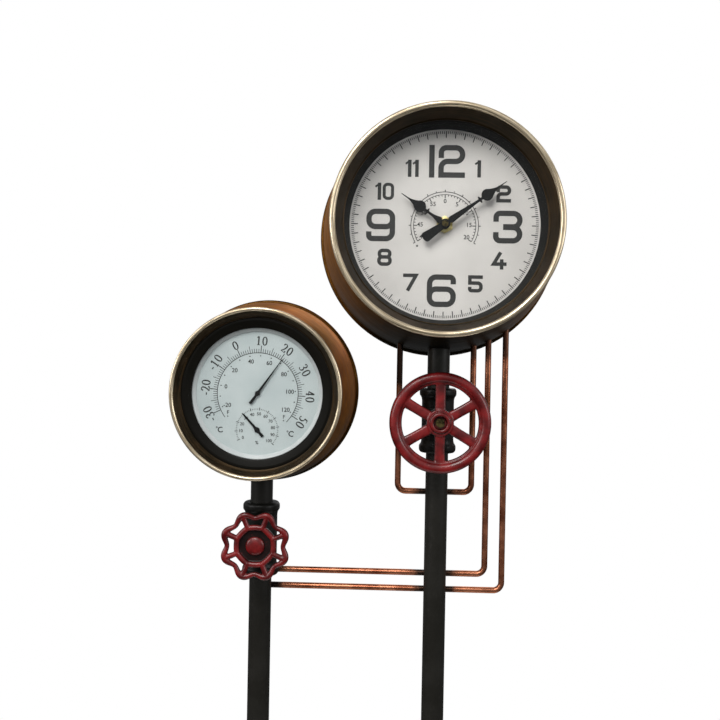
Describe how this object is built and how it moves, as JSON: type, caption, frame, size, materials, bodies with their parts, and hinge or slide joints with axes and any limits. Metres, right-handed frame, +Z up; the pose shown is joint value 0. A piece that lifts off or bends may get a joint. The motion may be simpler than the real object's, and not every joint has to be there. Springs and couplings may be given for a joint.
{
  "type": "two-post pipe clock with thermometer",
  "caption": "Floor-standing twin-post clock and thermometer with hygrometer, pipe tees, valve handwheels and copper rods.",
  "frame": {"origin": "middle of the base plate's underside", "axes": "+Z up, -Y towards the front that the dials face, +X to the right seen from the front"},
  "size_m": [0.3974, 0.25, 1.2494],
  "materials": {
    "black_iron": "satin black paint over rolled steel",
    "black_fastener": "satin black",
    "copper_paint": "worn copper paint",
    "bronze_paint": "antiqued copper-bronze paint with a pale gold edge",
    "clear_glass": "clear",
    "black_plastic": "matt",
    "clock_dial_card": "matt warm white print",
    "thermometer_dial_card": "matt cool white print",
    "steel": "zinc plated",
    "brass": "bright",
    "copper_wire": "enamelled wire",
    "battery_sleeve": "plain sleeve",
    "black_hand": "matt black paint",
    "white_plastic": "semi gloss",
    "red_iron": "red enamel with a dark wash in the corners"
  },
  "bodies": {
    "stand": {"base_plate": "black_iron", "tall_post_flange": "black_iron", "short_post_flange": "black_iron", "flange_screws": "black_fastener", "tall_post_lower_pipe": "black_iron", "tall_post_upper_pipe": "black_iron", "short_post_lower_pipe": "black_iron", "short_post_upper_pipe": "black_iron", "tall_post_tee": "black_iron", "short_post_tee": "black_iron", "tall_packing_nut": "black_fastener", "short_packing_nut": "black_fastener", "u_rod": "copper_paint", "inner_loop_rod": "copper_paint", "outer_loop_rod": "copper_paint", "clock_case": "bronze_paint", "clock_bezel": "bronze_paint", "clock_glass": "clear_glass", "clock_spacer_ring": "black_plastic", "clock_dial": "clock_dial_card", "dial_screws": "steel", "clock_back_cover": "black_iron", "clock_back_screws": "black_fastener", "clock_saddle": "black_iron", "saddle_set_screws": "black_fastener", "movement_front_case": "black_plastic", "movement_rear_case": "black_plastic", "movement_nut": "brass", "motor_coil": "copper_wire", "motor_stator": "steel", "battery": "battery_sleeve", "battery_contacts": "steel", "thermometer_case": "bronze_paint", "thermometer_bezel": "bronze_paint", "insert_ring": "black_plastic", "insert_lens": "clear_glass", "dial_lip_ring": "white_plastic", "thermometer_dial": "thermometer_dial_card", "insert_cup": "black_plastic", "pointer_bushes": "brass", "thermometer_coil": "brass", "humidity_coil": "brass", "thermometer_back_cover": "black_iron", "thermometer_back_screws": "black_fastener", "thermometer_saddle": "black_iron"},
    "minute_hand_set": {"centre_arbor": "brass", "minute_hand": "black_hand", "hand_nut": "brass"},
    "hour_hand_set": {"hour_wheel": "brass", "hour_hand": "black_hand"},
    "minute_wheel_set": {"minute_wheel": "white_plastic"},
    "setting_knob_set": {"setting_knob": "black_plastic"},
    "thermometer_pointer_set": {"thermometer_pointer": "black_hand"},
    "humidity_pointer_set": {"humidity_pointer": "black_hand"},
    "large_wheel_set": {"large_handwheel": "red_iron", "large_valve_stem": "steel", "large_wheel_screw": "brass"},
    "small_wheel_set": {"small_handwheel": "red_iron", "small_valve_stem": "steel", "small_wheel_cap": "red_iron"}
  },
  "joints": [
    {"name": "minute_hand_turn", "type": "hinge", "parent": "stand", "child": "minute_hand_set", "pos_m": [0.086, -0.045, 1.128], "axis": [0, 1, 0], "continuous": true},
    {"name": "hour_hand_turn", "type": "hinge", "parent": "stand", "child": "hour_hand_set", "pos_m": [0.086, -0.045, 1.128], "axis": [0, 1, 0], "continuous": true},
    {"name": "minute_wheel_turn", "type": "hinge", "parent": "stand", "child": "minute_wheel_set", "pos_m": [0.086, -0.035, 1.138], "axis": [0, 1, 0], "continuous": true},
    {"name": "setting_knob_turn", "type": "hinge", "parent": "stand", "child": "setting_knob_set", "pos_m": [0.086, -0.03, 1.148], "axis": [0, 1, 0], "continuous": true},
    {"name": "thermometer_pointer_swing", "type": "hinge", "parent": "stand", "child": "thermometer_pointer_set", "pos_m": [-0.086, -0.038, 0.9685], "axis": [0, 1, 0], "range_deg": [-150.2, 87]},
    {"name": "humidity_pointer_swing", "type": "hinge", "parent": "stand", "child": "humidity_pointer_set", "pos_m": [-0.086, -0.038, 0.9341], "axis": [0, 1, 0], "range_deg": [-76, 174]},
    {"name": "large_handwheel_turn", "type": "hinge", "parent": "stand", "child": "large_wheel_set", "pos_m": [0.086, -0.03, 0.944], "axis": [0, 1, 0], "continuous": true},
    {"name": "small_handwheel_turn", "type": "hinge", "parent": "stand", "child": "small_wheel_set", "pos_m": [-0.086, -0.03, 0.8245], "axis": [0, 1, 0], "continuous": true}
  ],
  "couplings": [
    {"joint": "hour_hand_turn", "follows": "minute_hand_turn", "ratio": 0.083333},
    {"joint": "minute_wheel_turn", "follows": "minute_hand_turn", "ratio": -0.33333},
    {"joint": "setting_knob_turn", "follows": "minute_hand_turn", "ratio": 1}
  ]
}
